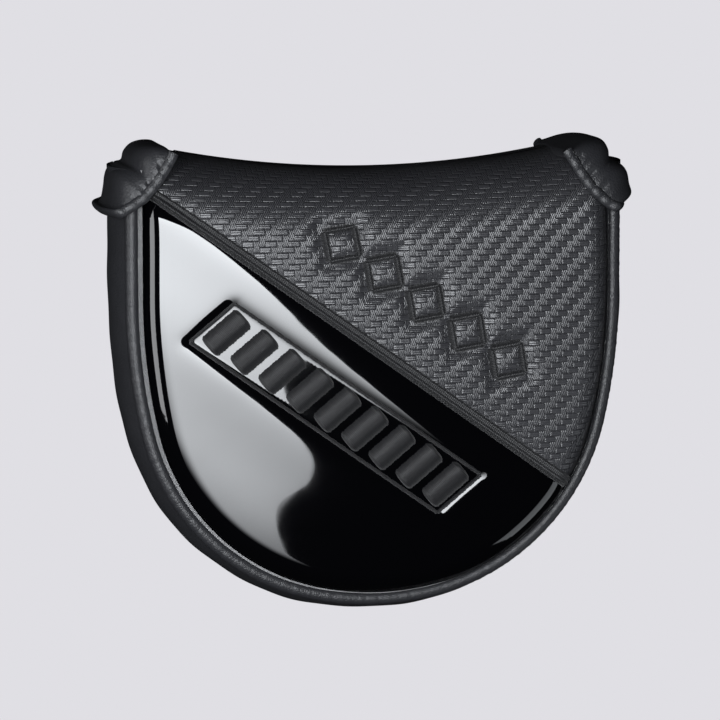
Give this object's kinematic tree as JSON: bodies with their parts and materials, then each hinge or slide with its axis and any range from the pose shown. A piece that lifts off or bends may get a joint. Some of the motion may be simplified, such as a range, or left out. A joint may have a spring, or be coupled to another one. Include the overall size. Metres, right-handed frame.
{
  "type": "putter head cover",
  "caption": "Padded D-shaped mallet putter head cover with a magnetic flap, piped edges and gathered elastic corners, half patent, half carbon-weave leather.",
  "frame": {"origin": "below the middle of the cover, on the surface that its back lies on", "axes": "+Z out of the decorated front; +Y out of the mouth, where the flap folds; +X to the right as the front is seen"},
  "size_m": [0.1342, 0.1199, 0.0419],
  "materials": {
    "carbon_weave_leather": "embossed",
    "patent_leather": "high gloss",
    "smooth_leather": "satin",
    "embroidery_thread": "satin",
    "plush_lining": "brushed",
    "padding_foam": "matte",
    "elastic_webbing": "matte",
    "piping_cord": "matte",
    "magnet_steel": "plated"
  },
  "bodies": {
    "pouch": {"back_lining": "plush_lining", "back_lower_foam": "padding_foam", "back_lower_panel": "smooth_leather", "back_magnets": "magnet_steel", "back_piping_cord": "piping_cord", "back_piping_cover": "smooth_leather", "back_upper_foam": "padding_foam", "back_upper_panel": "smooth_leather", "diagonal_satin_seam": "embroidery_thread", "front_carbon_panel": "carbon_weave_leather", "front_foam": "padding_foam", "front_lining": "plush_lining", "front_patent_panel": "patent_leather", "front_piping_cord": "piping_cord", "front_piping_cover": "smooth_leather", "left_ear_cover": "smooth_leather", "left_ear_elastic": "elastic_webbing", "left_ear_hem_binding": "smooth_leather", "left_ear_lining": "plush_lining", "left_ear_stitches": "embroidery_thread", "lower_embroidery": "embroidery_thread", "mouth_binding": "smooth_leather", "right_ear_cover": "smooth_leather", "right_ear_elastic": "elastic_webbing", "right_ear_hem_binding": "smooth_leather", "right_ear_lining": "plush_lining", "right_ear_stitches": "embroidery_thread", "side_wall_foam": "padding_foam", "side_wall_lining": "plush_lining", "side_wall_skin": "smooth_leather", "upper_embroidery": "embroidery_thread"},
    "flap_wall": {"flap_wall_foam": "padding_foam", "flap_wall_lining": "plush_lining", "flap_wall_skin": "carbon_weave_leather"},
    "flap_tab": {"flap_tab_foam": "padding_foam", "flap_tab_lining": "plush_lining", "flap_tab_skin": "carbon_weave_leather", "tab_magnets": "magnet_steel"}
  },
  "joints": [
    {"name": "flap_fold", "type": "hinge", "parent": "pouch", "child": "flap_wall", "pos_m": [0, 0.043, 0.0389], "axis": [1, 0, 0], "range_deg": [0, 95]},
    {"name": "tab_fold", "type": "hinge", "parent": "flap_wall", "child": "flap_tab", "pos_m": [0, 0.045, 0.0003], "axis": [1, 0, 0], "range_deg": [0, 80]}
  ]
}
